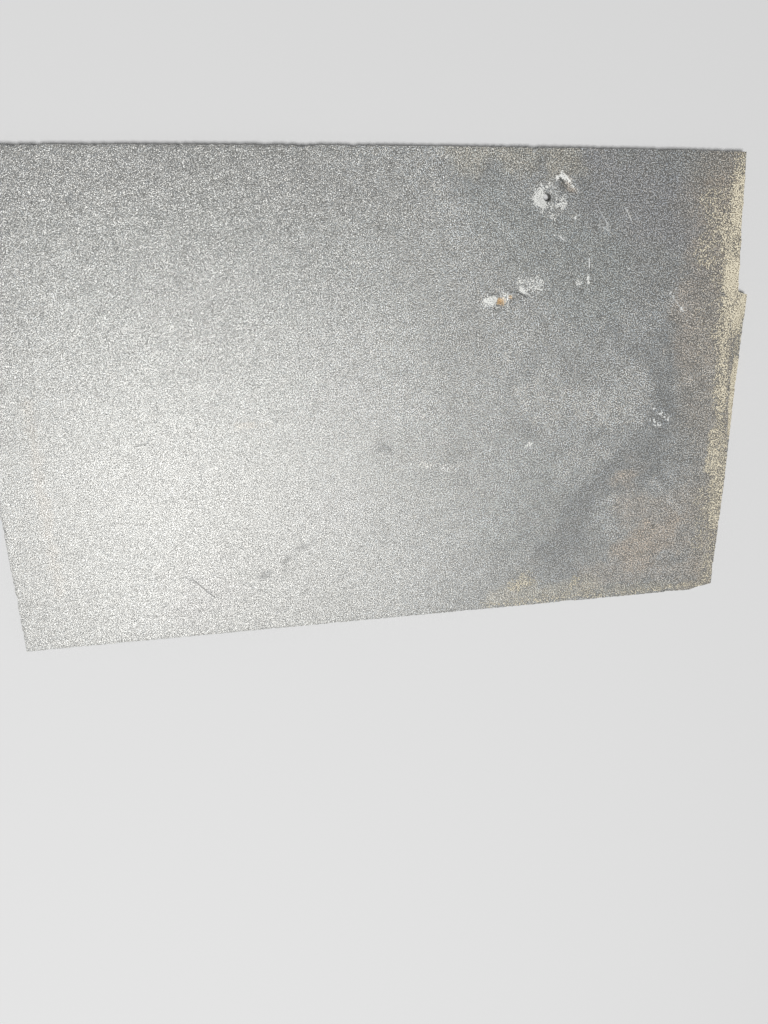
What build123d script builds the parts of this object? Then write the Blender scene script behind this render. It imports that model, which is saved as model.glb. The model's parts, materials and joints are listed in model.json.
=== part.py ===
"""A slate roof tile, split from the rock and dressed to size, in millimetres.

It lies on its bed with the weathered face up: +X runs to the head, which the course above covers,
-X to the tail, and +Z is out of the face. The origin is on the floor under the middle.
"""

from build123d import *
from math import atan2, degrees
import os

# Overall size
slate_length = 406.0  # tail to head
slate_width = 250.0  # between the two sides, where they are widest apart
slate_thickness = 6.0
side_bow = 1.4  # how far the +Y side stands out between its ends

# Dressed edges: the knife leaves a sharp arris on the face, and chips away the stone under it
chip_pitch = 4.5  # along the edge
chip_wander = 0.22  # how unevenly the chips are spaced, as a share of the pitch
face_chip_depth = 0.35  # the deepest hollow of a chip where it meets the face
bed_chip_depth = 0.9  # the deepest hollow of a chip where it meets the bed
edge_undercut = 2.4  # how far the bed stops inside the face's outline

# Nail hole, punched from the bed, with the crater that it bursts out of the face
nail_hole_radius = 2.0
nail_from_head = 120.0
nail_from_side = 23.0
nail_crater_radius = 5.8
nail_crater_depth = 1.8

# Shallower flake off the crater's rim, towards the tail
rim_flake_radius = 4.6
rim_flake_depth = 0.9
rim_flake_reach = 2.8  # from the hole's axis to the flake's middle
rim_flake_bearing = 160.0  # degrees from +X

# Second punch mark, which stops inside the stone
mark_from_head = 143.5
mark_from_side = 73.0
mark_crater_radius = 4.4
mark_crater_depth = 1.2
mark_pit_radius = 2.1
mark_point_radius = 0.5
mark_pit_depth = 2.8

# Long flake off the face beside the nail hole: a step at one end, and it feathers out at the other
flake_past_hole = 7.5  # from the hole's axis to the step, towards the head
flake_above_hole = 7.0  # the same towards the +Y side
flake_length = 11.0
flake_depth = 0.9  # at the step
flake_round = 6.0  # radius across the scar
flake_bearing = -28.0  # degrees from +X

# Stone broken away from the head, down from the +Y side, in a row of flakes
break_length = 72.0  # down the head
break_set_in = 12.6  # at the +Y side
break_step = 6.8  # at the lower end
break_chip_pitch = 14.0
break_chip_depth = 0.9
break_lean = 1.6  # how far the break's foot stands out past its top

# Long spall on the face's arris, which the break cuts short
arris_spall_length = 140.0  # of the whole lens
arris_spall_width = 5.6
arris_spall_depth = 1.6
arris_spall_hollow = 0.3  # how far its section sags under a straight bevel
arris_spall_middle = 152.0  # up from the -Y side

# Corner nibbled away, at the head end of the -Y side
nibble_length = 15.0  # along the side
nibble_depth = 3.4  # along the head
nibble_chip_pitch = 5.0
nibble_chip_depth = 0.6
nibble_lean = 0.8

head = slate_length / 2
side = slate_width / 2
side_end = side - side_bow
clear = slate_thickness  # how far a cutter stands past what it cuts
golden_share = 0.618034  # multiples of it fall unevenly between whole numbers


def uneven(number):
    """A share from 0 to 1 that hops about as the number goes up, and is the same each time."""
    return (number * golden_share) % 1


def chipped_line(start, end, chips, bow, chip_depth):
    """Arcs from start to end: each chip is a shallow hollow between two cusps, least at the ends."""
    along = end - start
    outward = Vector(along.Y, -along.X).normalized()
    wander = [chip_wander * (2 * uneven(number) - 1) for number in range(1, chips)]
    shares = [0.0] + [(number + 1 + shift) / chips for number, shift in enumerate(wander)] + [1.0]
    cusps = [start + along * share + outward * (4 * bow * share * (1 - share)) for share in shares]
    arcs = []
    for number in range(chips):
        from_end = min(number, chips - 1 - number, 2)
        hollow = chip_depth * (0.45 + 0.55 * uneven(3 * number + 1)) * (from_end + 0.5) / 2.5
        middle = (cusps[number] + cusps[number + 1]) / 2 - outward * hollow
        arcs.append(ThreePointArc(cusps[number], middle, cusps[number + 1]))
    return arcs


def outline(inset, chip_depth, height):
    """The dressed outline at one height, set in by inset: tail, -Y side, head and the bowed +Y side."""
    tail_low = Vector(inset - head, inset - side)
    head_low = Vector(head - inset, inset - side)
    head_high = Vector(head - inset, side_end - inset)
    tail_high = Vector(inset - head, side_end - inset)
    along_side = round(slate_length / chip_pitch)
    along_head = round(slate_width / chip_pitch)
    arcs = chipped_line(tail_low, head_low, along_side, 0, chip_depth)
    arcs += chipped_line(head_low, head_high, along_head, 0, chip_depth)
    arcs += chipped_line(head_high, tail_high, along_side, side_bow, chip_depth)
    arcs += chipped_line(tail_high, tail_low, along_head, 0, chip_depth)
    return Pos(0, 0, height) * make_face(Wire(arcs))


def dressed_slab():
    """The slab before any damage: its chipped wall runs from the face's outline in to the bed's."""
    bed = outline(edge_undercut, bed_chip_depth, 0)
    face = outline(0, face_chip_depth, slate_thickness)
    return loft([bed, face], ruled=True)


def crater(radius, depth):
    """A ball that sinks depth into the face and meets it on a circle of that radius."""
    ball_radius = (radius**2 + depth**2) / (2 * depth)
    return Pos(0, 0, slate_thickness - depth + ball_radius) * Sphere(ball_radius)


def nail_hole():
    """The bore, the crater around its mouth and the flake off the crater's rim."""
    bore = Pos(0, 0, slate_thickness / 2) * Cylinder(nail_hole_radius, slate_thickness + 2 * clear)
    rim_flake = Pos(rim_flake_reach, 0) * crater(rim_flake_radius, rim_flake_depth)
    return bore + crater(nail_crater_radius, nail_crater_depth) + Rot(0, 0, rim_flake_bearing) * rim_flake


def punch_mark():
    """A crater with the print of the punch's point in the middle of it."""
    pit = Cone(mark_point_radius, mark_pit_radius, mark_pit_depth)
    return crater(mark_crater_radius, mark_crater_depth) + Pos(0, 0, slate_thickness - mark_pit_depth / 2) * pit


def long_flake():
    """A leaning round bar whose end cuts the step, and whose flank rises out of the face along +X."""
    rise = Rot(0, -degrees(atan2(flake_depth, flake_length)), 0)
    bar = Cylinder(flake_round, 2 * flake_length, rotation=(0, 90, 0))
    return Pos(0, 0, slate_thickness - flake_depth + flake_round) * rise * Pos(flake_length, 0) * bar


def broken_off(start, end, chips, chip_depth, lean, beyond):
    """All the stone past a chipped line, cut at a slope so that its foot stands out by lean."""
    along = end - start
    outward = Vector(along.Y, -along.X).normalized()
    levels = []
    for height in (-clear, slate_thickness + clear):
        shift = outward * (lean * (slate_thickness - height) / slate_thickness)
        arcs = chipped_line(start + shift, end + shift, chips, 0, chip_depth)
        closing = Polyline(end + shift, *beyond, start + shift)
        levels.append(Pos(0, 0, height) * make_face(Wire(arcs + closing.edges())))
    return loft(levels, ruled=True)


def arris_spall():
    """A ring of a hollow bevel's section, so wide that it takes a long thin lens off the arris."""
    ring_radius = ((arris_spall_length / 2) ** 2 + arris_spall_width**2) / (2 * arris_spall_width)
    on_face = Vector(ring_radius, slate_thickness)
    on_wall = on_face - Vector(arris_spall_width, arris_spall_depth)
    hollow = SagittaArc(on_face, on_wall, arris_spall_hollow)
    beyond = [on_wall - Vector(clear, 0), on_wall - Vector(clear, -clear - arris_spall_depth)]
    closing = Polyline(on_wall, *beyond, on_face + Vector(0, clear), on_face)
    section = make_face(Wire([hollow] + closing.edges()))
    ring = revolve(Plane.XZ * section, Axis.Z)
    return Pos(head - arris_spall_width + ring_radius, arris_spall_middle - side) * ring


def broken_head():
    """The flakes gone from the head, between a step in its line and the +Y side."""
    foot = Vector(head - break_step, side - break_length)
    along = Vector(break_step - break_set_in, break_length)
    chips = round(along.length / break_chip_pitch)
    beyond = [Vector(head + clear, side + clear), Vector(head + clear, foot.Y - break_lean)]
    top = foot + along * ((break_length + clear) / break_length)
    return broken_off(foot, top, chips, break_chip_depth, break_lean, beyond)


def nibbled_corner():
    """The small flakes gone from the corner between the -Y side and the head."""
    along = Vector(nibble_length, nibble_depth)
    start = Vector(head, -side) - Vector(nibble_length, 0)
    chips = round(along.length / nibble_chip_pitch)
    beyond = [Vector(head + clear, nibble_depth - side), Vector(head + clear, -side - clear)]
    beyond += [Vector(start.X, -side - clear)]
    return broken_off(start - along * 0.1, start + along * 1.1, chips, nibble_chip_depth, nibble_lean, beyond)


slate = dressed_slab() - arris_spall() - broken_head() - nibbled_corner()
nail_spot = Pos(head - nail_from_head, side - nail_from_side)
slate -= nail_spot * nail_hole()
slate -= nail_spot * Pos(flake_past_hole, flake_above_hole) * Rot(0, 0, flake_bearing) * long_flake()
slate -= Pos(head - mark_from_head, side - mark_from_side) * punch_mark()

os.makedirs("parts", exist_ok=True)
export_step(slate, "parts/slate.step")
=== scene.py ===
import json

import bpy
import numpy as np
from mathutils import Matrix, Vector


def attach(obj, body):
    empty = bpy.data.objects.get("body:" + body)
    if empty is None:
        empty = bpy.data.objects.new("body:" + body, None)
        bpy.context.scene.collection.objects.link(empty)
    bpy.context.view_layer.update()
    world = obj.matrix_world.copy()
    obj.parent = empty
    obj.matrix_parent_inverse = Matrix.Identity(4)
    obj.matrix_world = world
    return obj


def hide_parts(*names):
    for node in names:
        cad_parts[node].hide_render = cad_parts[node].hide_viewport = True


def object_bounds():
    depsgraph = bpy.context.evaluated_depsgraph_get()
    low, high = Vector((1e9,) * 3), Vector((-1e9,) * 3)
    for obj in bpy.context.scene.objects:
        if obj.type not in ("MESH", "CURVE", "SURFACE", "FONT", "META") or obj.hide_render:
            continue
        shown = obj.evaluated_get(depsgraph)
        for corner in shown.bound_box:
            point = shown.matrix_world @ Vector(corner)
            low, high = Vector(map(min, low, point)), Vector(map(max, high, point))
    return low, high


# A weathered slate roof tile, lying on its bed. One closed mesh stands for the CAD slab of the same outline
# and hole, and adds the split grain of the face, the torn stone of its edges and the smaller scars.
# Lengths are millimetres up to the point where something is written to Blender, which is in metres.

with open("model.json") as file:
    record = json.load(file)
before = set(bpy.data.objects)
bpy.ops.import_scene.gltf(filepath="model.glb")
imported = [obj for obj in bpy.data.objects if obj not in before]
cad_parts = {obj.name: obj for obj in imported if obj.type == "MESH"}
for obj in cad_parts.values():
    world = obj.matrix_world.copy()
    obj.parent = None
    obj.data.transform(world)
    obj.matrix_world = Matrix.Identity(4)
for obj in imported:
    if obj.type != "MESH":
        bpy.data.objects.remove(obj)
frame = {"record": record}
cad_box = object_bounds()

METRE = 1000.0
HEAD, SIDE, THICK = (round(corner * METRE, 3) for corner in cad_box[1])  # half length, half width, thickness

# Nail hole, from the record
nail_mount = next(mount for mount in frame["record"]["mounts"] if mount["name"] == "nail_hole")
HOLE = np.round(np.array(nail_mount["pos_m"][:2]) * METRE, 3)
HOLE_RADIUS = nail_mount["dims"]["r_mm"]

# Dressed edges, as in the part
SIDE_BOW = 1.4
CHIP_PITCH = 4.5
CHIP_WANDER = 0.22
FACE_CHIP = 0.35
BED_CHIP = 0.9
UNDERCUT = 2.4

# Broken head, long spall on its arris and nibbled corner, as in the part
BREAK_LOW = 53.0
BREAK_STEP = 6.8
BREAK_TOP = 12.6
BREAK_LEAN = 1.6
BREAK_CHIPS = 5
BREAK_CHIP_DEPTH = 0.9
SPALL_MIDDLE = 27.0
SPALL_HALF = 70.0
SPALL_WIDTH = 5.6
SPALL_SLOPE = 1.6 / SPALL_WIDTH
NIBBLE_LENGTH = 15.0
NIBBLE_DEPTH = 3.4
NIBBLE_LEAN = 0.8

# Scars of the face: the nail hole's crater and the flake off its rim
NAIL_CRATER_RADIUS = 5.8
NAIL_CRATER_DEPTH = 1.8
RIM_FLAKE_RADIUS = 4.8
RIM_FLAKE_DEPTH = 0.95
RIM_FLAKE_REACH = 2.8
RIM_FLAKE_BEARING = np.radians(160)

# Second punch mark
MARK = np.array([59.5, 52.0])
MARK_CRATER_RADIUS = 4.4
MARK_CRATER_DEPTH = 1.2
MARK_PIT_RADIUS = 2.1
MARK_POINT_RADIUS = 0.5
MARK_PIT_DEPTH = 2.8

# Long flake beside the nail hole, from its step
FLAKE_STEP = HOLE + np.array([7.5, 7.0])
FLAKE_LENGTH = 11.0
FLAKE_DEPTH = 0.9
FLAKE_ROUND = 6.0
FLAKE_BEARING = np.radians(-28)

# Small chip in the open face, which is sunk on its lower right half only
CHIP_PLACE = (77.3, -26.3)
CHIP_RADIUS = 2.6
CHIP_DEPTH = 0.55

# Places of the grid lines over the face, and how many steps lie between them: they are closer at the nail
# hole and at the second punch mark, and the hole takes one whole gap each way
X_PLACES = [-200, 46, HOLE[0] - HOLE_RADIUS, HOLE[0] + HOLE_RADIUS, 110, 200]
X_STEPS = [132, 50, 8, 34, 58]
X_HOLE_GAP = 2
Y_PLACES = [-122, 42, 62, 92, HOLE[1] - HOLE_RADIUS, HOLE[1] + HOLE_RADIUS, 112, 122]
Y_STEPS = [102, 28, 26, 12, 8, 12, 6]
Y_HOLE_GAP = 4
HOLE_BLEND = 8.0  # half of the square around the hole within which the grid turns round
SIDE_FADE = 20.0  # how far in from a side the grid is squeezed to make room for its outline
HEAD_FADE = 70.0  # the same from the head

# Kinds of point: on the face, on the wall of an edge or of the hole, and on the bed. Where the edge's wall
# meets the face or the bed, a point has a share of the wall's number.
ON_FACE = 0
ON_WALL = 1
ON_BED = 2

# Rings around the edge: how far they stand in from the outline, and how many go down the wall
FACE_INSETS = (1.7, 0.75)
ARRIS_INSET = 0.12
UNDER_ARRIS_INSET = 0.04
BED_INSET = 2.1
WALL_RINGS = 8

ARRIS_DROP = 0.06  # how far the arris is rounded down from the face
BED_RELIEF = 0.45  # how uneven the bed is, as a share of the face
BED_RIM_RELIEF = 0.27  # the same at the bed's rim
HOLE_LEVELS = (0.12, 0.35, 0.6, 0.85, 1.0)  # rings of the nail hole's wall, as shares of the way down
SHARP_ANGLE = np.radians(38)  # edges of the mesh that turn by more stay sharp

FACE_SEED = 1
BED_SEED = 100
LUMP_TABLE = 256  # random numbers each way, after which lumps repeat
LUMP_SHIFT = 2 * LUMP_TABLE  # cells, which keeps their numbers above zero

# Stains, each a soft stroke over the face: start, end, half width and strength
DARK_STROKES = [
    ((162, 28), (159, 4), 12, 0.85),
    ((160, -6), (152, -44), 14, 0.95),
    ((143, -34), (98, -88), 14, 0.85),
    ((86, 114), (160, 88), 34, 0.9),
    ((96, -98), (104, -106), 12, 0.6),
    ((84, -17), (84, -17), 7, 0.5),
    ((128, 28), (150, 22), 8, 0.45),
    ((153, 58), (153, 59), 2.2, 0.8),
    ((2, 16), (9, 18), 1.8, 0.50),
    ((-26.1, 11.2), (-25.5, 11.0), 1.8, 0.50),
    ((-6.5, 11.4), (-6.0, 11.2), 1.8, 0.45),
    ((-4, -22), (-3, -23), 3.2, 0.5),
    ((-73.2, -92.3), (-68.6, -89.7), 2.6, 0.52),
    ((-61.5, -90.0), (-61.6, -85.0), 1.6, 0.56),
    ((-60.0, -83.0), (-58.0, -81.0), 2.0, 0.52),
    ((-53.4, -76.4), (-46.0, -75.4), 1.7, 0.50),
    ((-136, -75), (-126, -77), 2.0, 0.35),
    ((60, 15), (90, 25), 8, 0.25),
]
PURPLE_STROKES = [
    ((-110, -98), (-108, -100), 17, 0.7),
    ((114, 116), (161, 92), 20, 0.5),
    ((-20, 30), (-35, -50), 26, 0.3),
]
GREEN_STROKES = [
    ((56, 98), (110, 60), 22, 0.6),
    ((80, -60), (60, -80), 30, 0.4),
]
BROWN_STROKES = [
    ((136, -48), (142, -54), 7, 0.85),
    ((142, -62), (176, -80), 16, 0.55),
    ((148, -94), (172, -91), 14, 1.0),
    ((174, 14), (168, 52), 10, 0.6),
    ((170, 60), (182, 96), 11, 0.5),
    ((120, -108), (186, -110), 9, 0.45),
    ((-181, 8), (-181, -92), 2.6, 0.55),
    ((-81, -7), (-64, -7), 1.4, 0.8),
    ((93.0, 107.8), (94.6, 106.2), 2.6, 1.2),
]
SAND_STROKES = [
    ((40, 122), (92, 119), 8, 0.5),
    ((60, -118), (124, -117), 6, 0.65),
    ((76, -112), (79, -110), 8, 0.7),
    ((130, -120), (196, -121), 4, 0.6),
]
PALE_STROKES = [
    ((164, 2), (191, 15), 2.6, 0.5),
    ((17, -34), (36, -36), 1.8, 0.8),
    ((157, -52), (178, -73), 2.0, 0.5),
    ((167, -49), (184, -66), 1.6, 0.4),
    ((130, -62), (133, -84), 3.0, 0.35),
    ((84, 2), (136, -4), 13, 0.5),
    ((109, -12), (118, -6), 5, 0.5),
    ((60, 20), (78, 30), 8, 0.2),
    ((100, -40), (120, -34), 6, 0.3),
]

# The stone's plain colour, and its stains in the order in which they lie over each other: colour, how much
# of it shows at most, the seed of its ragged borders, and its strokes
PLAIN_STONE = (0.130, 0.135, 0.136)
STAINS = [
    ((0.046, 0.053, 0.060), 1.0, 300, DARK_STROKES),
    ((0.110, 0.102, 0.120), 0.6, 400, PURPLE_STROKES),
    ((0.105, 0.126, 0.128), 0.6, 450, GREEN_STROKES),
    ((0.205, 0.170, 0.136), 1.0, 500, BROWN_STROKES),
    ((0.210, 0.190, 0.142), 1.0, 550, SAND_STROKES),
    ((0.300, 0.300, 0.290), 1.0, 600, PALE_STROKES),
]
HEAD_STAIN = (0.190, 0.156, 0.116)

# Loose ochre dust that lies in speckles, in strokes like the stains, and the height that it stays above
DUST_FOOT = 2.2
DUST = [
    ((74, -113), (80, -110), 7, 0.42),
    ((109, -114), (112, -112), 6, 0.36),
    ((56, -122), (124, -122), 4.0, 0.30),
    ((124, -123), (198, -121), 2.4, 0.38),
    ((189, -62), (191, -98), 5, 0.30),
    ((180, 60), (176, 20), 9, 0.20),
    ((176, 100), (176, 74), 8, 0.34),
    ((182, 92), (184, 78), 6, 0.55),
    ((195, -26), (193, -48), 6, 0.60),
    ((42, 121), (90, 121), 5, 0.12),
]

# Bruised stone, crushed to a pale powder by blows
BRUISES = [
    ((52.0, 51.6), (56.0, 51.8), 3.0, 0.84),
    ((69.6, 61.6), (79.6, 58.8), 4.0, 0.44),
    ((70.6, 57.2), (71.4, 56.8), 1.6, 0.9),
    ((63.6, 54.2), (64.4, 53.8), 1.1, 0.8),
    ((58.4, 49.2), (61.6, 49.4), 1.8, 0.40),
    ((77.8, 103.0), (79.6, 99.6), 3.4, 0.95),
    ((77.4, 105.6), (84.0, 107.6), 2.6, 0.50),
    ((81.0, 98.0), (90.6, 98.4), 2.8, 0.52),
    ((91.4, 99.6), (92.0, 103.5), 1.8, 0.36),
    ((84.0, 94.0), (87.0, 92.0), 2.5, 0.35),
    ((87.2, 111.0), (87.7, 111.0), 1.3, 1.0),
    ((89.8, 112.4), (91.4, 111.2), 1.3, 1.0),
    ((93.2, 110.2), (94.2, 109.4), 0.6, 0.8),
    ((95.6, 107.4), (97.0, 106.4), 0.8, 0.75),
    ((98.2, 105.2), (99.2, 104.4), 1.0, 0.6),
    ((76.8, -27.4), (79.0, -25.6), 1.4, 0.72),
    ((102.0, 60.0), (102.3, 60.0), 2.0, 0.60),
    ((107.2, 63.8), (107.5, 60.2), 0.9, 0.85),
]

# Rust that a nail's point left in the second punch mark and beside it
RUST = [
    ((59.6, 52.0), (60.4, 51.6), 2.3, 0.85),
    ((64.6, 54.1), (65.4, 53.7), 1.1, 0.7),
]

# Small pale pecks in groups
PECKS = [
    ((152.5, -9.0), (162.0, -15.0), 2.4, 1.0),
    ((151.8, -15.6), (156.5, -19.0), 2.6, 1.0),
    ((128.8, 66.9), (128.8, 66.9), 1.8, 1.0),
    ((98.2, 91.8), (99.6, 92.8), 3.0, 0.95),
    ((155, 54), (164, 44), 2.0, 0.8),
    ((84, 84), (92, 82), 4.0, 0.7),
]

# Scratches and cracks, and one painted shadow line: start, end, half width, and how pale, or dark below zero
SCRATCHES_AND_SHADOW_LINE = [
    ((107.1, 71.2), (107.3, 68.6), 0.40, 0.9),
    ((111.4, 95.1), (116.4, 88.4), 0.34, 0.45),
    ((111.7, 88.2), (116.6, 85.6), 0.34, 0.45),
    ((90.2, 83.0), (92.6, 81.4), 0.44, 0.8),
    ((125.6, 96.1), (128.9, 90.8), 0.36, 0.6),
    ((155.1, 53.5), (163.8, 44.4), 0.35, 0.45),
    ((72.6, 56.0), (76.4, 53.6), 0.35, 0.6),
    ((-111.0, -91.0), (-101.0, -102.0), 0.36, -0.3),
    ((54.0, 55.2), (57.6, 55.8), 0.36, -0.6),
    ((65.8, 56.4), (69.4, 56.0), 0.42, -0.8),
    ((69.4, 56.0), (73.0, 53.8), 0.36, -0.8),
    ((65.4, 52.2), (66.2, 52.7), 0.40, -0.6),
    ((-132.6, -15.0), (-128.6, -14.0), 0.30, -0.2),
    ((14.0, -60.0), (30.0, -57.0), 0.30, 0.3),
    # Painted shadow: the dark line under the step of the flake beside the nail hole
    ((89.2, 110.2), (92.2, 107.8), 0.45, -1.0),
]


def soft_step(low, high, value):
    """0 before low, 1 past high, and 3t^2 - 2t^3 between them. It falls where high is under low."""
    share = np.clip((value - low) / (high - low), 0, 1)
    return share * share * (3 - 2 * share)


def lumps(x, y, cell, seed):
    """Random heights from 0 to 1 on the corners of square cells, blended by 6t^5 - 15t^4 + 10t^3."""
    table = np.random.default_rng(seed).random((LUMP_TABLE, LUMP_TABLE))
    u = x / cell + LUMP_SHIFT
    v = y / cell + LUMP_SHIFT
    column = np.floor(u).astype(int)
    row = np.floor(v).astype(int)
    u = u - column
    v = v - row
    u = u * u * u * (u * (6 * u - 15) + 10)
    v = v * v * v * (v * (6 * v - 15) + 10)
    left = column % LUMP_TABLE
    right = (column + 1) % LUMP_TABLE
    below = row % LUMP_TABLE
    above = (row + 1) % LUMP_TABLE
    near = table[left, below] * (1 - u) + table[right, below] * u
    far = table[left, above] * (1 - u) + table[right, above] * u
    return near * (1 - v) + far * v


def stone_lumps(x, y, cell, seed, layers=3):
    """Lumps of one size plus finer layers, each half the size and height of the last, from 0 to 1."""
    total = 0
    for layer in range(layers):
        total = total + lumps(x, y, cell / 2**layer, seed + layer) / 2**layer
    return total / (2 - 2.0 ** (1 - layers))


def ledged(value, ledge, low, high):
    """The value in level ledges of one height, with a soft rise between two shares of each ledge."""
    layer = value / ledge
    whole = np.floor(layer)
    return ledge * (whole + soft_step(low, high, layer - whole))


def uneven(number):
    """A share from 0 to 1 that hops about as the number goes up."""
    return (number * 0.618034) % 1


def chip_hollows(share, chips, deepest):
    """Depth of the chips at a share of one side: a parabola 4t(1 - t) between cusps, least at the ends."""
    number = np.arange(1, chips)
    cusps = (number + CHIP_WANDER * (2 * uneven(number) - 1)) / chips
    cusps = np.concatenate([[0], cusps, [1]])
    chip = np.clip(np.searchsorted(cusps, share, side="right") - 1, 0, chips - 1)
    across = (share - cusps[chip]) / (cusps[chip + 1] - cusps[chip])
    from_end = np.minimum(np.minimum(chip, chips - 1 - chip), 2)
    deep = deepest * (0.45 + 0.55 * uneven(3 * chip + 1)) * (from_end + 0.5) / 2.5
    return deep * 4 * across * (1 - across)


def broken_back(y):
    """How far the broken stretch of the head stands in: a slanting line, with flakes as wide chips."""
    up = np.clip((y - BREAK_LOW) / (SIDE - BREAK_LOW), 0, 1)
    line = BREAK_STEP + (BREAK_TOP - BREAK_STEP) * up
    flakes = chip_hollows(up, BREAK_CHIPS, BREAK_CHIP_DEPTH) + 0.5 * (stone_lumps(y, 0 * y, 6, 40) - 0.5)
    return (line + flakes) * soft_step(BREAK_LOW - 1.2, BREAK_LOW + 1.0, y)


def arris_bevel(y):
    """Width of the long spall on the head's arris: a lens 1 - t^2 about its middle, ended by the break."""
    lens = SPALL_WIDTH * np.clip(1 - ((y - SPALL_MIDDLE) / SPALL_HALF) ** 2, 0, 1)
    wobble = 1 + 0.25 * (stone_lumps(y, 0 * y, 9, 44) - 0.5)
    return lens * wobble * (1 - soft_step(BREAK_LOW - 1.6, BREAK_LOW + 0.4, y))


def set_in(x, y, bevel, depth):
    """How far tail, head, -Y side and +Y side stand inside the full rectangle, at a depth from 0 to 1.

    Depth 0 is the face and 1 is the bed. A bevel of 1 counts the spall's whole width, and 0 none of it.
    """
    nibble = np.clip((x - HEAD + NIBBLE_LENGTH) / NIBBLE_LENGTH, 0, 1) * NIBBLE_DEPTH
    tail = UNDERCUT * depth + 0 * x
    low = np.maximum(nibble - NIBBLE_LEAN * depth, UNDERCUT * depth)
    high = SIDE_BOW * (x / HEAD) ** 2 + UNDERCUT * depth
    broken = broken_back(y)
    head = np.maximum(broken - BREAK_LEAN * depth * (broken > 0), UNDERCUT * depth)
    return tail, head + arris_bevel(y) * bevel, low, high


def fade(distance, reach):
    """(1 - t)^2 over the reach, and 0 past it."""
    return np.clip(1 - distance / reach, 0, 1) ** 2


def drawn_in(x, y, bevel, depth):
    """Moves the full rectangle's points in to the real outline: each side's inset, faded out inwards."""
    tail, head, low, high = set_in(x, y, bevel, depth)
    across = x + tail * fade(HEAD + x, SIDE_FADE) - head * fade(HEAD - x, HEAD_FADE)
    up = y + low * fade(SIDE + y, SIDE_FADE) - high * fade(SIDE - y, SIDE_FADE)
    return across, up


def rounded_hole(x, y):
    """Turns the square block of cells at the nail hole into a circle: each point slides along its ray."""
    dx = x - HOLE[0]
    dy = y - HOLE[1]
    square = np.maximum(np.maximum(abs(dx), abs(dy)), 1e-6)
    blend_share = soft_step(HOLE_RADIUS, HOLE_BLEND, square)
    slide = square / np.maximum(np.hypot(dx, dy), 1e-6) * (1 - blend_share) + blend_share
    return HOLE[0] + dx * slide, HOLE[1] + dy * slide


def crater(x, y, at, radius, depth, seed):
    """Depth of a ball sunk into the face, its rim made uneven by lumps, its floor in ledges with grit."""
    ball = (radius**2 + depth**2) / (2 * depth)
    away = np.hypot(x - at[0], y - at[1])
    away = away * (1 + 0.42 * (stone_lumps(x, y, 2.8, seed) - 0.5) * soft_step(1.5, radius, away))
    sunk = np.maximum(np.sqrt(np.maximum(ball**2 - away**2, 0)) - (ball - depth), 0)
    grit = 0.22 * (stone_lumps(x, y, 1.6, seed + 9) - 0.5) * soft_step(0.05, 0.4, sunk)
    return np.maximum(0.35 * sunk + 0.65 * ledged(sunk, 0.28, 0.25, 0.75) + grit, 0)


def long_flake(x, y):
    """Depth of the flake beside the nail hole: a step at one end, a ramp to the other, round across."""
    dx = x - FLAKE_STEP[0]
    dy = y - FLAKE_STEP[1]
    along = np.cos(FLAKE_BEARING) * dx + np.sin(FLAKE_BEARING) * dy
    beside = np.cos(FLAKE_BEARING) * dy - np.sin(FLAKE_BEARING) * dx
    beside = beside + 1.8 * (stone_lumps(x, y, 3, 86) - 0.5)
    ramp = FLAKE_DEPTH * (1 - along / FLAKE_LENGTH)
    flake = ramp - (FLAKE_ROUND - np.sqrt(np.maximum(FLAKE_ROUND**2 - beside**2, 0)))
    flake = np.maximum(flake * soft_step(-0.4, 0.3, along), 0)
    return 0.4 * flake + 0.6 * ledged(flake, 0.22, 0.3, 0.7)


def scars(x, y):
    """Depth of the craters, the pit and the flakes on the face: the deepest of them at each point."""
    bearing = np.array([np.cos(RIM_FLAKE_BEARING), np.sin(RIM_FLAKE_BEARING)])
    rim_flake = HOLE + RIM_FLAKE_REACH * bearing
    deepest = crater(x, y, HOLE, NAIL_CRATER_RADIUS, NAIL_CRATER_DEPTH, 50)
    deepest = np.maximum(deepest, crater(x, y, rim_flake, RIM_FLAKE_RADIUS, RIM_FLAKE_DEPTH, 62))
    deepest = np.maximum(deepest, crater(x, y, MARK, MARK_CRATER_RADIUS, MARK_CRATER_DEPTH, 74))
    away = np.hypot(x - MARK[0], y - MARK[1])
    pit = np.clip((MARK_PIT_RADIUS - away) / (MARK_PIT_RADIUS - MARK_POINT_RADIUS), 0, 1)
    deepest = np.maximum(deepest, MARK_PIT_DEPTH * pit)
    deepest = np.maximum(deepest, long_flake(x, y))
    slope = (x - CHIP_PLACE[0]) * 0.7 - (y - CHIP_PLACE[1]) * 0.7
    chip = crater(x, y, CHIP_PLACE, CHIP_RADIUS, CHIP_DEPTH, 98) * soft_step(-0.6, 0.8, slope)
    return np.maximum(deepest, chip)


def riven(x, y, seed):
    """Depth of the split surface under its highest point: broad waves, long ripples, grit and terraces."""
    waves = 0.12 * stone_lumps(x, y, 95, seed, 2)
    ripples = 0.035 * stone_lumps(x / 2.4, y, 8, seed + 10, 3)
    grit = 0.045 * stone_lumps(x, y, 3.2, seed + 20, 2)
    terraces = 0.03 * ledged(5 * stone_lumps(x / 1.6, y, 60, seed + 30, 4), 1, 0.90, 1.0)
    return waves + ripples + grit + terraces


def grid_lines(places, steps):
    """Grid lines: each gap between two places is cut into its own number of equal steps."""
    runs = [np.linspace(a, b, n, endpoint=False) for a, b, n in zip(places, places[1:], steps)]
    return np.concatenate(runs + [[places[-1]]])


def gap_lines(steps, gap):
    """The numbers of the first and the last grid line of one gap."""
    return sum(steps[:gap]), sum(steps[: gap + 1])


def around(table):
    """The border of a table, once around and counter-clockwise from its lowest corner."""
    return np.concatenate([table[:-1, 0], table[-1, :-1], table[:0:-1, -1], table[0, :0:-1]])


def halved(loop):
    """The loop's values with the middle of each neighbouring pair put between them."""
    return np.stack([loop, (loop + np.roll(loop, -1)) / 2], axis=-1).reshape(-1)


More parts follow.
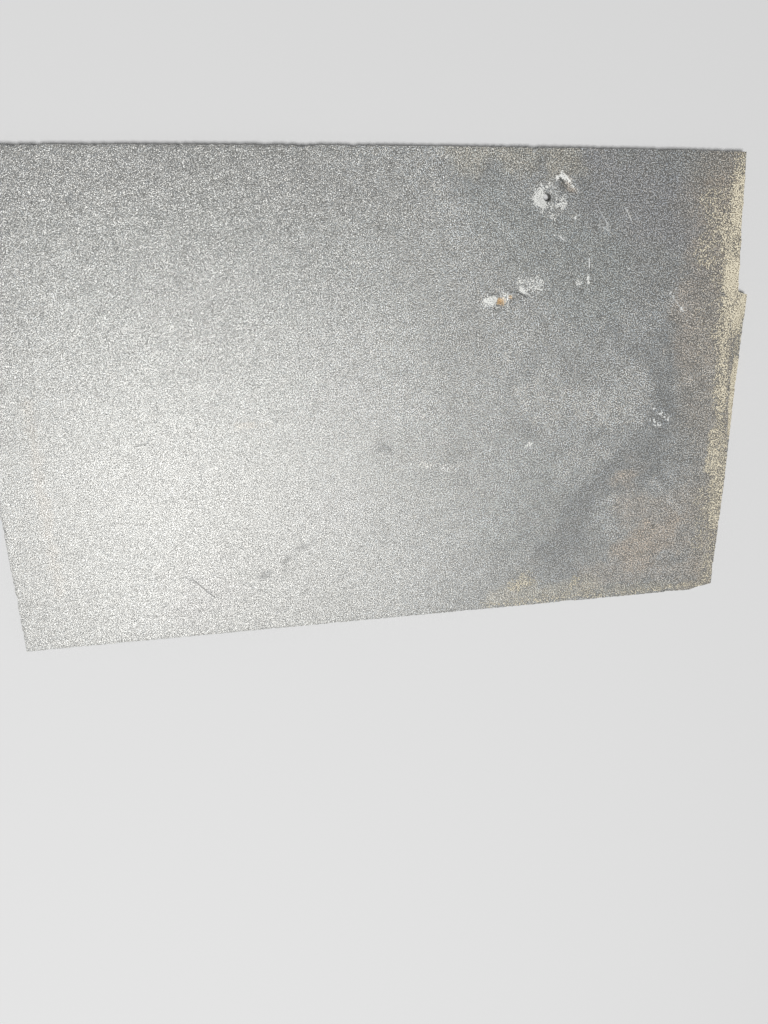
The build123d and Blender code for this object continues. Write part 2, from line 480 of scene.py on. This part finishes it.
def grid_faces(table, hole):
    """Squares between neighbouring lines, without the block of cells that the hole takes."""
    corners = np.stack([table[:-1, :-1], table[1:, :-1], table[1:, 1:], table[:-1, 1:]], axis=-1)
    keep = np.ones(corners.shape[:2], bool)
    keep[hole[0] : hole[1], hole[2] : hole[3]] = False
    return corners[keep]


def hole_border(table, hole):
    """The ring of points around the block of cells that the hole takes."""
    return around(table[hole[0] : hole[1] + 1, hole[2] : hole[3] + 1])


def ring_faces(inner, outer):
    """Squares between two rings with as many points."""
    return np.stack([inner, outer, np.roll(outer, -1), np.roll(inner, -1)], axis=-1)


def stitch(inner, outer):
    """Triangles between a ring and one of a whole number of times its points: a fan at each inner point."""
    times = len(outer) // len(inner)
    after = np.roll(inner, -1)
    spokes = outer.reshape(len(inner), times)
    spokes = np.concatenate([spokes, np.roll(spokes[:, 0], -1)[:, None]], axis=1)
    half = times // 2
    fans = []
    for step in range(times):
        if step == half:
            fans.append(np.stack([inner, spokes[:, step], after], axis=-1))
        hub = inner if step < half else after
        fans.append(np.stack([hub, spokes[:, step], spokes[:, step + 1]], axis=-1))
    return np.concatenate(fans)


class Points:
    """Points gathered array by array, each with its share of fresh stone and its kind: face, wall or bed."""

    def __init__(self):
        self.places = np.empty((0, 3))
        self.fresh = np.empty(0)
        self.kind = np.empty(0)

    def add(self, x, y, z, fresh, kind):
        """Adds an array of points and gives back the table of their numbers."""
        count = len(self.places)
        table = np.arange(count, count + x.size).reshape(x.shape)
        self.places = np.concatenate([self.places, np.stack([x, y, z], axis=-1).reshape(-1, 3)])
        self.fresh = np.concatenate([self.fresh, np.broadcast_to(fresh, x.shape).reshape(-1)])
        self.kind = np.concatenate([self.kind, np.broadcast_to(kind, x.shape).reshape(-1)])
        return table


def face_table(points, x_lines, y_lines):
    """The weathered face: a grid, drawn in to the outline, sunk by the split surface and by the scars."""
    x, y = np.meshgrid(x_lines, y_lines, indexing="ij")
    x, y = drawn_in(*rounded_hole(x, y), 1, 0)
    scarred = scars(x, y)
    floor_share = soft_step(0.04, 0.3, scarred)
    z = THICK - riven(x, y, FACE_SEED) * (1 - 0.6 * floor_share) - scarred
    return points.add(x, y, z, 0.4 * floor_share, ON_FACE)


def bed_table(points, x_lines, y_lines):
    """The bed: a grid of half as many lines, drawn in to its smaller outline and split less unevenly."""
    x, y = np.meshgrid(x_lines[::2], y_lines[::2], indexing="ij")
    x, y = drawn_in(*rounded_hole(x, y), 0, 1)
    return points.add(x, y, BED_RELIEF * riven(x, y, BED_SEED), 0, ON_BED)


def edge_rings(points, x_lines, y_lines):
    """The edge as a section carried around the outline, in rings from the face's rim down to the bed's.

    Each ring has two points to each square of the face's border. The first two rings are still on the face,
    the next two round the arris over with crumbs gone from it, eight go down the torn wall, and the last is
    on the bed.
    """
    loop_x, loop_y = np.meshgrid(x_lines / x_lines[-1], y_lines / y_lines[-1], indexing="ij")
    loop_x = halved(around(loop_x))
    loop_y = halved(around(loop_y))
    at_end = 1 - 1e-9
    on_low = (loop_y <= -at_end) & (loop_x < at_end)
    on_head = (loop_x >= at_end) & (loop_y < at_end)
    on_high = (loop_y >= at_end) & (loop_x > -at_end)
    share = np.select([on_low, on_head, on_high], [loop_x + 1, loop_y + 1, 1 - loop_x], 1 - loop_y) / 2
    step_x = np.diff(loop_x * HEAD, append=loop_x[0] * HEAD)
    step_y = np.diff(loop_y * SIDE, append=loop_y[0] * SIDE)
    run = np.concatenate([[0], np.cumsum(np.hypot(step_x, step_y))[:-1]])

    def side_chips(deepest):
        """The dressing chips along the loop: more of them on the long sides than on the short ones."""
        long_side = chip_hollows(share, round(2 * HEAD / CHIP_PITCH), deepest)
        short_side = chip_hollows(share, round(2 * SIDE / CHIP_PITCH), deepest)
        return np.where(on_low | on_high, long_side, short_side)

    def section(inset, bevel, depth):
        """One ring's places: the rectangle set in evenly, then drawn in to the outline at that depth."""
        return drawn_in(loop_x * (HEAD - inset), loop_y * (SIDE - inset), bevel, depth)

    face_chips = side_chips(FACE_CHIP)
    bed_chips = side_chips(BED_CHIP)
    crumb_size = 0.25 + 0.5 * lumps(run, 0 * run, 2.2, 164)
    crumbs = soft_step(0.60, 0.86, stone_lumps(run, 0 * run, 7, 160, 3)) * crumb_size
    spall_depth = SPALL_SLOPE * arris_bevel(loop_y * SIDE) * (loop_x >= at_end)
    rings = []
    for inset in FACE_INSETS:
        x, y = section(inset + 0.3 * face_chips, 1, 0)
        scarred = scars(x, y)
        z = THICK - riven(x, y, FACE_SEED) - scarred
        rings.append(points.add(x, y, z, soft_step(0.05, 0.4, scarred), ON_FACE))
    x, y = section(ARRIS_INSET + face_chips + crumbs, 1, 0)
    arris = THICK - riven(x, y, FACE_SEED) - ARRIS_DROP
    rings.append(points.add(x, y, arris, 0.4, ON_FACE))
    x, y = section(UNDER_ARRIS_INSET + face_chips + 0.8 * crumbs, 0.55, 0.02)
    half_down = THICK - 0.3 - 0.6 * spall_depth - 0.5 * crumbs
    rings.append(points.add(x, y, np.minimum(half_down, arris - 0.15), 1, 0.3 * ON_WALL))
    wall_top = np.minimum(THICK - 0.5 - spall_depth - crumbs, arris - 0.35)
    for level in np.linspace(0, 1, WALL_RINGS):
        z = wall_top * (1 - level)
        rough = 0.38 * (stone_lumps(run, z * 1.5 + 40, 2.1, 170, 3) - 0.42) * 4 * level * (1.15 - level)
        ledge = 0.30 * (lumps(run / 5, z + 90, 1.5, 175) - 0.5) * (level * (1 - level) * 4)
        inset = face_chips * (1 - level) + bed_chips * level + 0.5 * crumbs * (1 - level) + rough + ledge
        x, y = section(np.maximum(inset, 0.01), 0, 0.04 + 0.96 * level)
        rings.append(points.add(x, y, z, 1, ON_WALL * (0.5 if level == 1 else 1)))
    x, y = section(BED_INSET + 0.3 * bed_chips, 0, 1)
    rings.append(points.add(x, y, BED_RIM_RELIEF * riven(x, y, BED_SEED), 0.1, ON_BED))
    return rings


def hole_rings(points, mouth):
    """The wall of the nail hole, in rings from its mouth in the crater's floor down to the bed."""
    at_mouth = points.places[mouth]
    turn = np.arctan2(at_mouth[:, 1] - HOLE[1], at_mouth[:, 0] - HOLE[0])
    rings = [mouth]
    for level in HOLE_LEVELS:
        z = at_mouth[:, 2] * (1 - level) + 0.05 * level
        rough = 0.16 * (stone_lumps(turn * 3, z, 1.1, 180) - 0.5) * 4 * level * (1 - level)
        x = HOLE[0] + (HOLE_RADIUS + rough) * np.cos(turn)
        y = HOLE[1] + (HOLE_RADIUS + rough) * np.sin(turn)
        rings.append(points.add(x, y, z, 0, ON_WALL))
    return rings


def slate_parts():
    """The slate's points, and its squares and triangles as numbers of those points."""
    x_lines = grid_lines(X_PLACES, X_STEPS)
    y_lines = grid_lines(Y_PLACES, Y_STEPS)
    face_hole = gap_lines(X_STEPS, X_HOLE_GAP) + gap_lines(Y_STEPS, Y_HOLE_GAP)
    bed_hole = tuple(number // 2 for number in face_hole)
    points = Points()
    face = face_table(points, x_lines, y_lines)
    bed = bed_table(points, x_lines, y_lines)
    edge = edge_rings(points, x_lines, y_lines)
    wall = hole_rings(points, hole_border(face, face_hole))
    squares = [grid_faces(face, face_hole), grid_faces(bed, bed_hole)[:, ::-1]]
    squares += [ring_faces(upper, lower) for upper, lower in zip(edge, edge[1:])]
    squares += [ring_faces(upper, lower)[:, ::-1] for upper, lower in zip(wall, wall[1:])]
    triangles = [stitch(around(face), edge[0]), stitch(around(bed), edge[-1])[:, ::-1]]
    triangles += [stitch(hole_border(bed, bed_hole), wall[-1])]
    return points, np.concatenate(squares), np.concatenate(triangles)


points, squares, triangles = slate_parts()
used = np.unique(np.concatenate([squares.reshape(-1), triangles.reshape(-1)]))
new_number = np.zeros(len(points.places), int)
new_number[used] = np.arange(len(used))
mesh = bpy.data.meshes.new("slate_face_and_edges")
faces = new_number[squares].tolist() + new_number[triangles].tolist()
mesh.from_pydata((points.places[used] * (1 / METRE)).tolist(), [], faces)
mesh.validate()
mesh.polygons.foreach_set("use_smooth", np.ones(len(mesh.polygons), bool))
mesh.set_sharp_from_angle(angle=SHARP_ANGLE)
slate = bpy.data.objects.new("slate_tile", mesh)
bpy.context.scene.collection.objects.link(slate)


def stroke(x, y, start, end, half_width):
    """Distance from the line between start and end, as a share of the half width."""
    along = np.array(end) - np.array(start)
    share = ((x - start[0]) * along[0] + (y - start[1]) * along[1]) / max(along @ along, 1e-9)
    share = np.clip(share, 0, 1)
    return np.hypot(x - start[0] - share * along[0], y - start[1] - share * along[1]) / half_width


def stained(x, y, strokes, seed, ragged=2.4):
    """The strongest of some strokes at each point, from 0 to 1, with their borders pushed about by lumps."""
    strongest = np.zeros(len(x))
    for number, (start, end, half_width, strength) in enumerate(strokes):
        push = ragged * (stone_lumps(x, y, max(1.1 * half_width, 3.5), seed + 5 * number, 4) - 0.5)
        cover = strength * (1 - soft_step(0.30, 1.40, stroke(x, y, start, end, half_width) + push))
        strongest = np.maximum(strongest, cover)
    return strongest


def toned(colour, stain, share):
    """The colour array mixed towards one colour by a share."""
    return colour * (1 - share[:, None]) + np.array(stain) * share[:, None]


def stone_colours_and_tail_highlight(x, y, on_face, head_distance):
    """The stone's soft colour at each point: clouds, stronger towards the head, a painted highlight that
    lightens the tail, under the stains.
    """
    cloud = stone_lumps(x, y, 34, 200, 4) - 0.5
    stone = np.full((len(x), 3), 1.0) * np.array(PLAIN_STONE)
    stone = stone * (1 + (0.35 + 0.75 * soft_step(-60, 80, x[:, None])) * cloud[:, None])
    # Painted highlight: the tail is painted up to 1.22 times lighter, where the lamp's sheen on the face is
    # strongest
    stone = stone * (1.22 - 0.22 * soft_step(-150, -80, x[:, None]))
    for colour, most, seed, strokes in STAINS:
        stone = toned(stone, colour, on_face * most * stained(x, y, strokes, seed))
    near_head = on_face * (1 - soft_step(6, 38, head_distance + 30 * cloud))
    return toned(stone, HEAD_STAIN, 0.6 * near_head)


def head_dust(x, y, head_distance):
    """Dust along the head: a thin band with a ragged border, and a thicker one inside it."""
    high_up = soft_step(24, 36, y)
    thin_reach = 16 + 8 * high_up - 4 * soft_step(-20, -50, y)
    push = 22 * (stone_lumps(x, y / 2.2, 14, 700, 4) - 0.5)
    thin = 1 - soft_step(0.0, 1.15, (head_distance + push) / thin_reach)
    thick = 1 - soft_step(0.5, 1.4, (head_distance + 0.5 * push) / (9.5 + 0.5 * high_up))
    gaps = 0.78 + 0.6 * (stone_lumps(x, y, 16, 720, 3) - 0.5)
    dust = np.maximum(0.42 * thin, (0.56 + 0.16 * high_up) * thick) * gaps / 0.78
    dust = dust * (1 - 0.5 * soft_step(108, 122, y)) * (1 - 0.4 * soft_step(-78, -92, y))
    beside_spall = (arris_bevel(y) > 0.9) * (1 - soft_step(1.0, 3.0, head_distance))
    return dust * (1 - 0.5 * beside_spall * (1 - high_up))


def spall_dust(y, head_distance):
    """Dust on the long spall of the head's arris: thick low down, and thin across its middle."""
    dust = 0.85 - 0.40 * soft_step(44, 38, y) + 0.70 * soft_step(20, 12, y)
    return dust * (arris_bevel(y) > 0.9) * (head_distance < -0.3) * soft_step(-34, -22, y)


def scratch_and_shadow_lines(x, y, on_face):
    """Signed distance from the nearest of the scratches, cracks and painted shadow line, in its half widths,
    and how much that one shows.
    """
    side = np.zeros(len(x))
    shown = np.zeros(len(x))
    nearest = np.full(len(x), 99.0)
    for start, end, half_width, strength in SCRATCHES_AND_SHADOW_LINE:
        along = np.array(end) - np.array(start)
        off_line = ((x - start[0]) * along[1] - (y - start[1]) * along[0]) / np.hypot(*along)
        away = stroke(x, y, start, end, 1.0)
        closer = away < nearest
        side = np.where(closer, off_line / half_width, side)
        shown = np.where(closer, strength * on_face * (1 - soft_step(0.8, 1.8, away)), shown)
        nearest = np.where(closer, away, nearest)
    return side, shown


def paint(name, values):
    """Stores one number for each point of the mesh, for the finish to read."""
    attribute = mesh.attributes.new(name, "FLOAT", "POINT")
    attribute.data.foreach_set("value", np.asarray(values, np.float32))


x, y, z = points.places[used].T
kind = points.kind[used]
on_face = (kind < ON_WALL) * 1.0
not_bed = kind < ON_BED
head_distance = HEAD - broken_back(y) - arris_bevel(y) - x
stone = stone_colours_and_tail_highlight(x, y, on_face, head_distance)
face_dust = np.maximum(head_dust(x, y, head_distance), stained(x, y, DUST, 750))
dust = on_face * np.maximum(face_dust, 0)
dust = np.maximum(dust, spall_dust(y, head_distance) * not_bed * (z > DUST_FOOT))

# Painted shade: the wall of the nail hole counts as one dark scratch, painted dark for the shade inside the
# hole
scratch_side, scratch_share = scratch_and_shadow_lines(x, y, on_face)
shaded_hole_wall = (np.hypot(x - HOLE[0], y - HOLE[1]) < HOLE_RADIUS + 0.3) & (kind == ON_WALL)

paint("fresh", points.fresh[used])
paint("wall", kind * not_bed)
paint("dust", dust)
paint("bruise", on_face * stained(x, y, BRUISES, 800, 1.4))
paint("pecks", on_face * stained(x, y, PECKS, 850, 0.6))
paint("rust", on_face * stained(x, y, RUST, 900, 1.0))
paint("scratch_side", np.where(shaded_hole_wall, 0, scratch_side))
paint("scratch_share", np.where(shaded_hole_wall, -1, scratch_share))
stone_paint = mesh.attributes.new("stone", "FLOAT_COLOR", "POINT")
stone_and_alpha = np.concatenate([stone, np.ones((len(x), 1))], axis=1)
stone_paint.data.foreach_set("color", stone_and_alpha.astype(np.float32).reshape(-1))

# The finish: stone of fine glinting grains, under dust, bruises and scratches
slate_finish = bpy.data.materials.new("weathered_slate")
slate_finish.use_nodes = True
tree = slate_finish.node_tree
shader = tree.nodes["Principled BSDF"]


def node(node_type, inputs, **settings):
    """Adds a node; each input is a number, or an output that is wired to it."""
    made = tree.nodes.new(node_type)
    for name, value in settings.items():
        setattr(made, name, value)
    for name, value in inputs.items():
        if isinstance(value, bpy.types.NodeSocket):
            tree.links.new(value, made.inputs[name])
        else:
            made.inputs[name].default_value = value
    return made


def calc(operation, first, second=0.0):
    """One sum on two numbers or outputs."""
    return node("ShaderNodeMath", {0: first, 1: second}, operation=operation).outputs[0]


def vector_calc(operation, first, second):
    """One sum on two vectors, colours or outputs."""
    return node("ShaderNodeVectorMath", {0: first, 1: second}, operation=operation).outputs[0]


def scaled(colour, factor):
    """A colour or vector times a number."""
    return node("ShaderNodeVectorMath", {0: colour, "Scale": factor}, operation="SCALE").outputs[0]


def graded(value, low, high, first=0.0, last=1.0):
    """A value that goes smoothly from first, at low, to last, at high."""
    inputs = {"Value": value, "From Min": low, "From Max": high, "To Min": first, "To Max": last}
    return node("ShaderNodeMapRange", inputs, interpolation_type="SMOOTHSTEP").outputs["Result"]


def painted(name, output="Fac"):
    """The output of one of the mesh's painted numbers or colours."""
    return node("ShaderNodeAttribute", {}, attribute_name=name).outputs[output]


def noise(place, scale, detail, roughness=0.5, output="Fac"):
    """Cloudy noise, so many lumps to the millimetre."""
    inputs = {"Vector": place, "Scale": scale, "Detail": detail, "Roughness": roughness}
    return node("ShaderNodeTexNoise", inputs).outputs[output]


def cell_numbers(place, scale):
    """Small cells, so many to the millimetre, each with three random numbers: Red, Green and Blue."""
    cells = node("ShaderNodeTexVoronoi", {"Vector": place, "Scale": scale, "Randomness": 1.0})
    return node("ShaderNodeSeparateColor", {"Color": cells.outputs["Color"]}).outputs


def blend(share, first, second):
    """The first colour mixed towards the second."""
    return node("ShaderNodeMix", {0: share, 6: first, 7: second}, data_type="RGBA").outputs[2]


# How fine the grain is, in lumps to the millimetre: it is finer at the tail than at the head
GRAIN_AT_TAIL = 2.34
GRAIN_AT_HEAD = 1.70
LEAN_GRAIN = 2.9
LEAN = 0.75  # how strongly a grain's own lean is added to the surface's normal
RELIEF = 0.00012  # metres that a height of 1 stands out

# Places in millimetres: flat_place has no height on the face, where the grain has to look the same all over
place = scaled(node("ShaderNodeTexCoord", {}).outputs["Object"], METRE)
wall_share = painted("wall")
flatten = node("ShaderNodeCombineXYZ", {"X": 1.0, "Y": 1.0, "Z": wall_share}).outputs[0]
flat_place = vector_calc("MULTIPLY", place, flatten)
lengthwise = node("ShaderNodeSeparateXYZ", {0: place}).outputs["X"]
toward_head = graded(lengthwise, -110.0, 60.0)


def by_length(tail, head):
    """A number that goes from its value at the tail to its value at the head."""
    return graded(toward_head, 0.0, 1.0, tail, head)


# Stone: a dark ground with bright grains, in cloudy patches, and more even towards the tail
stone_and_tail_highlight_colour = painted("stone", "Color")
grain_scale = graded(lengthwise, -200.0, 200.0, GRAIN_AT_TAIL, GRAIN_AT_HEAD)
grain = noise(flat_place, grain_scale, 0.0)
grain_tone = graded(grain, 0.41, 0.59, by_length(0.20, 0.0), by_length(1.45, 2.00))
patches = noise(place, 0.16, 5.0, 0.62)
patch_tone = graded(patches, 0.32, 0.68, by_length(0.72, 0.42), by_length(1.28, 1.56))
colour = scaled(stone_and_tail_highlight_colour, calc("MULTIPLY", grain_tone, patch_tone))
fine_cells = cell_numbers(place, 2.7)
# Painted glints: bright specks painted into the colour, few at the tail and many towards the head, stand in
# for light glinting off grains
glint = calc("ADD", calc("MULTIPLY", grain, 0.75), calc("MULTIPLY", fine_cells["Red"], 0.25))
painted_glint_share = calc("MULTIPLY", graded(glint, 0.57, 0.61), by_length(0.12, 0.92))
painted_glint_colour = blend(0.40, scaled(stone_and_tail_highlight_colour, 5.0), (0.80, 0.82, 0.79, 1))
colour = blend(painted_glint_share, colour, painted_glint_colour)
tint = blend(fine_cells["Green"], (1.10, 1.0, 0.88, 1), (0.90, 1.0, 1.12, 1))
colour = vector_calc("MULTIPLY", colour, tint)

# Torn walls, with the stone's layers as fine lines
layers = noise(vector_calc("MULTIPLY", place, (0.10, 0.10, 2.6)), 1.0, 4.0, 0.65)
wall_tone = graded(layers, 0.3, 0.7, 0.72, 1.30)
colour = scaled(colour, blend(wall_share, (1, 1, 1, 1), wall_tone))
fresh_share = painted("fresh")
colour = blend(calc("MULTIPLY", fresh_share, 0.35), colour, (0.26, 0.265, 0.262, 1))

# What bruises, dust and rust break up into where they thin out
speck_noise = calc("MULTIPLY", noise(place, 0.45, 4.0, 0.6), 0.5)
speck = calc("ADD", calc("MULTIPLY", cell_numbers(place, 1.9)["Blue"], 0.75), speck_noise)


def speckled(share, strength, soft_low, soft_high, faded):
    """A painted share broken up into specks, with soft rims between two levels, and gone where nearly 0."""
    specks = calc("SUBTRACT", calc("MULTIPLY", share, strength), speck)
    return calc("MULTIPLY", graded(specks, soft_low, soft_high), graded(share, 0.02, faded))


# Bruises and pecks
crushed = speckled(painted("bruise"), 1.2, -0.08, 0.08, 0.2)
crushed_colour = blend(graded(grain, 0.34, 0.50), (0.42, 0.43, 0.425, 1), (0.97, 0.98, 0.94, 1))
colour = blend(crushed, colour, crushed_colour)
peck_cells = cell_numbers(place, 1.2)
peck = graded(calc("MULTIPLY", painted("pecks"), peck_cells["Red"]), 0.64, 0.70)
colour = blend(peck, colour, (0.90, 0.92, 0.90, 1))

# Scratches and cracks, and painted shade in the nail hole and under the step of the flake beside it
scratch_share = painted("scratch_share")
line = graded(calc("ABSOLUTE", painted("scratch_side")), 0.6, 1.2, 1.0, 0.0)
line = calc("MULTIPLY", line, graded(noise(place, 1.1, 2.0), 0.34, 0.50, 0.2, 1.0))
pale_line = calc("MULTIPLY", line, calc("MAXIMUM", scratch_share, 0.0))
dark_line_and_shade = calc("MULTIPLY", line, calc("MAXIMUM", calc("MULTIPLY", scratch_share, -1.0), 0.0))
colour = blend(pale_line, colour, (0.80, 0.82, 0.81, 1))
# Dark cracks, and painted shade on the nail hole's wall and under the flake's step
colour = blend(dark_line_and_shade, colour, (0.05, 0.055, 0.055, 1))

# Dust in speckles: more of them fill in as it thickens, and the stone between them darkens
dust_share = painted("dust")
colour = scaled(colour, graded(dust_share, 0.1, 0.6, 1.0, 0.50))
dusty = speckled(dust_share, 1.25, -0.05, 0.03, 0.15)
dust_colour = blend(graded(grain, 0.38, 0.55), (0.20, 0.155, 0.095, 1), (1.0, 0.91, 0.68, 1))
colour = blend(dusty, colour, dust_colour)

# Rust
rusty = speckled(painted("rust"), 1.3, -0.1, 0.1, 0.2)
rust_colour = blend(graded(grain, 0.38, 0.56), (0.22, 0.115, 0.05, 1), (0.84, 0.61, 0.34, 1))
colour = blend(rusty, colour, rust_colour)
tree.links.new(colour, shader.inputs["Base Color"])

# Gloss: a satin stone, and dull where it is torn, crushed, dusty or stained dark
dull = calc("MAXIMUM", calc("MAXIMUM", dusty, crushed), calc("MULTIPLY", fresh_share, 0.8))
dull = calc("MAXIMUM", dull, calc("MULTIPLY", dark_line_and_shade, 1.5))
roughness = graded(grain, 0.36, 0.47, by_length(0.71, 0.62), 0.40)
roughness = calc("ADD", roughness, calc("MULTIPLY", dull, 0.35))
stone_green = node("ShaderNodeSeparateColor", {"Color": stone_and_tail_highlight_colour}).outputs["Green"]
roughness = calc("ADD", roughness, graded(stone_green, 0.07, 0.12, 0.16, 0.0))
tree.links.new(roughness, shader.inputs["Roughness"])
shader.inputs["IOR"].default_value = 2.1
shader.inputs["Specular IOR Level"].default_value = 1.0
shader.inputs["Specular Tint"].default_value = (1.0, 0.99, 0.945, 1)

# Relief: each grain leans its own way, over grit, dust and scratches
lean = vector_calc("SUBTRACT", noise(flat_place, LEAN_GRAIN, 0.0, output="Color"), (0.5, 0.5, 0.5))
outward = node("ShaderNodeNewGeometry", {}).outputs["Normal"]
leaning = vector_calc("ADD", outward, scaled(lean, LEAN))
leaning = node("ShaderNodeVectorMath", {0: leaning}, operation="NORMALIZE").outputs[0]
wall_relief = calc("MULTIPLY", layers, calc("MULTIPLY", wall_share, 2.0))
fresh_relief = calc("MULTIPLY", noise(place, 1.4, 3.0), calc("MULTIPLY", fresh_share, 1.4))
scratch_relief = calc("MAXIMUM", calc("MULTIPLY", pale_line, 0.8), calc("MULTIPLY", dark_line_and_shade, 2.0))
height = calc("ADD", calc("MULTIPLY", grain, 0.5), calc("MULTIPLY", dusty, 0.6))
height = calc("ADD", calc("ADD", height, wall_relief), fresh_relief)
height = calc("SUBTRACT", height, scratch_relief)
relief = node("ShaderNodeBump", {"Strength": 1.0, "Distance": RELIEF, "Height": height, "Normal": leaning})
tree.links.new(relief.outputs["Normal"], shader.inputs["Normal"])
mesh.materials.append(slate_finish)

# Camera, with the place and direction that the photograph was taken from
CAMERA_PLACE = (-0.06512, 0.06350, 0.37798)
CAMERA_LOOK = (0.15274, -0.30979, -0.93846)
CAMERA_UP = (0.06946, 0.95062, -0.30250)
camera_data = bpy.data.cameras.new("camera")
camera_data.lens = 25.0
camera_data.clip_start = 0.01
camera = bpy.data.objects.new("camera", camera_data)
bpy.context.scene.collection.objects.link(camera)
look = Vector(CAMERA_LOOK).normalized()
right = look.cross(Vector(CAMERA_UP)).normalized()
turned = Matrix((right, right.cross(look), -look)).transposed().to_4x4()
camera.matrix_world = Matrix.Translation(Vector(CAMERA_PLACE)) @ turned
bpy.context.scene.camera = camera

# Floor, a hair under the slate's bed
FLOOR_REACH = 3.0
FLOOR_DROP = 0.0002
floor_mesh = bpy.data.meshes.new("floor")
turns = [(-1, -1), (1, -1), (1, 1), (-1, 1)]
corners = [(FLOOR_REACH * across, FLOOR_REACH * up, -FLOOR_DROP) for across, up in turns]
floor_mesh.from_pydata(corners, [], [(0, 1, 2, 3)])
floor = bpy.data.objects.new("floor", floor_mesh)
bpy.context.scene.collection.objects.link(floor)
floor_finish = bpy.data.materials.new("pale_floor")
floor_finish.use_nodes = True
floor_shader = floor_finish.node_tree.nodes["Principled BSDF"]
floor_shader.inputs["Base Color"].default_value = (0.8, 0.8, 0.8, 1)
floor_shader.inputs["Roughness"].default_value = 0.9
floor_mesh.materials.append(floor_finish)

# Light: a broad lamp that the face mirrors towards the tail, and an even pale sky
LAMP_TOWARD = (-0.160, -0.275, 0.948)
LAMP_DISTANCE = 3.0
toward = Vector(LAMP_TOWARD).normalized()
lamp_data = bpy.data.lights.new("broad_lamp", "AREA")
lamp_data.shape = "DISK"
lamp_data.size = 0.9
lamp_data.energy = 67.0
lamp = bpy.data.objects.new("broad_lamp", lamp_data)
lamp.location = toward * LAMP_DISTANCE
lamp.rotation_euler = toward.to_track_quat("Z", "Y").to_euler()
bpy.context.scene.collection.objects.link(lamp)
world = bpy.data.worlds.new("pale_sky")
bpy.context.scene.world = world
world.use_nodes = True
world.node_tree.nodes["Background"].inputs["Color"].default_value = (1, 1, 1, 1)
world.node_tree.nodes["Background"].inputs["Strength"].default_value = 0.2
bpy.context.scene.view_settings.view_transform = "Standard"

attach(slate, "root")
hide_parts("slate")
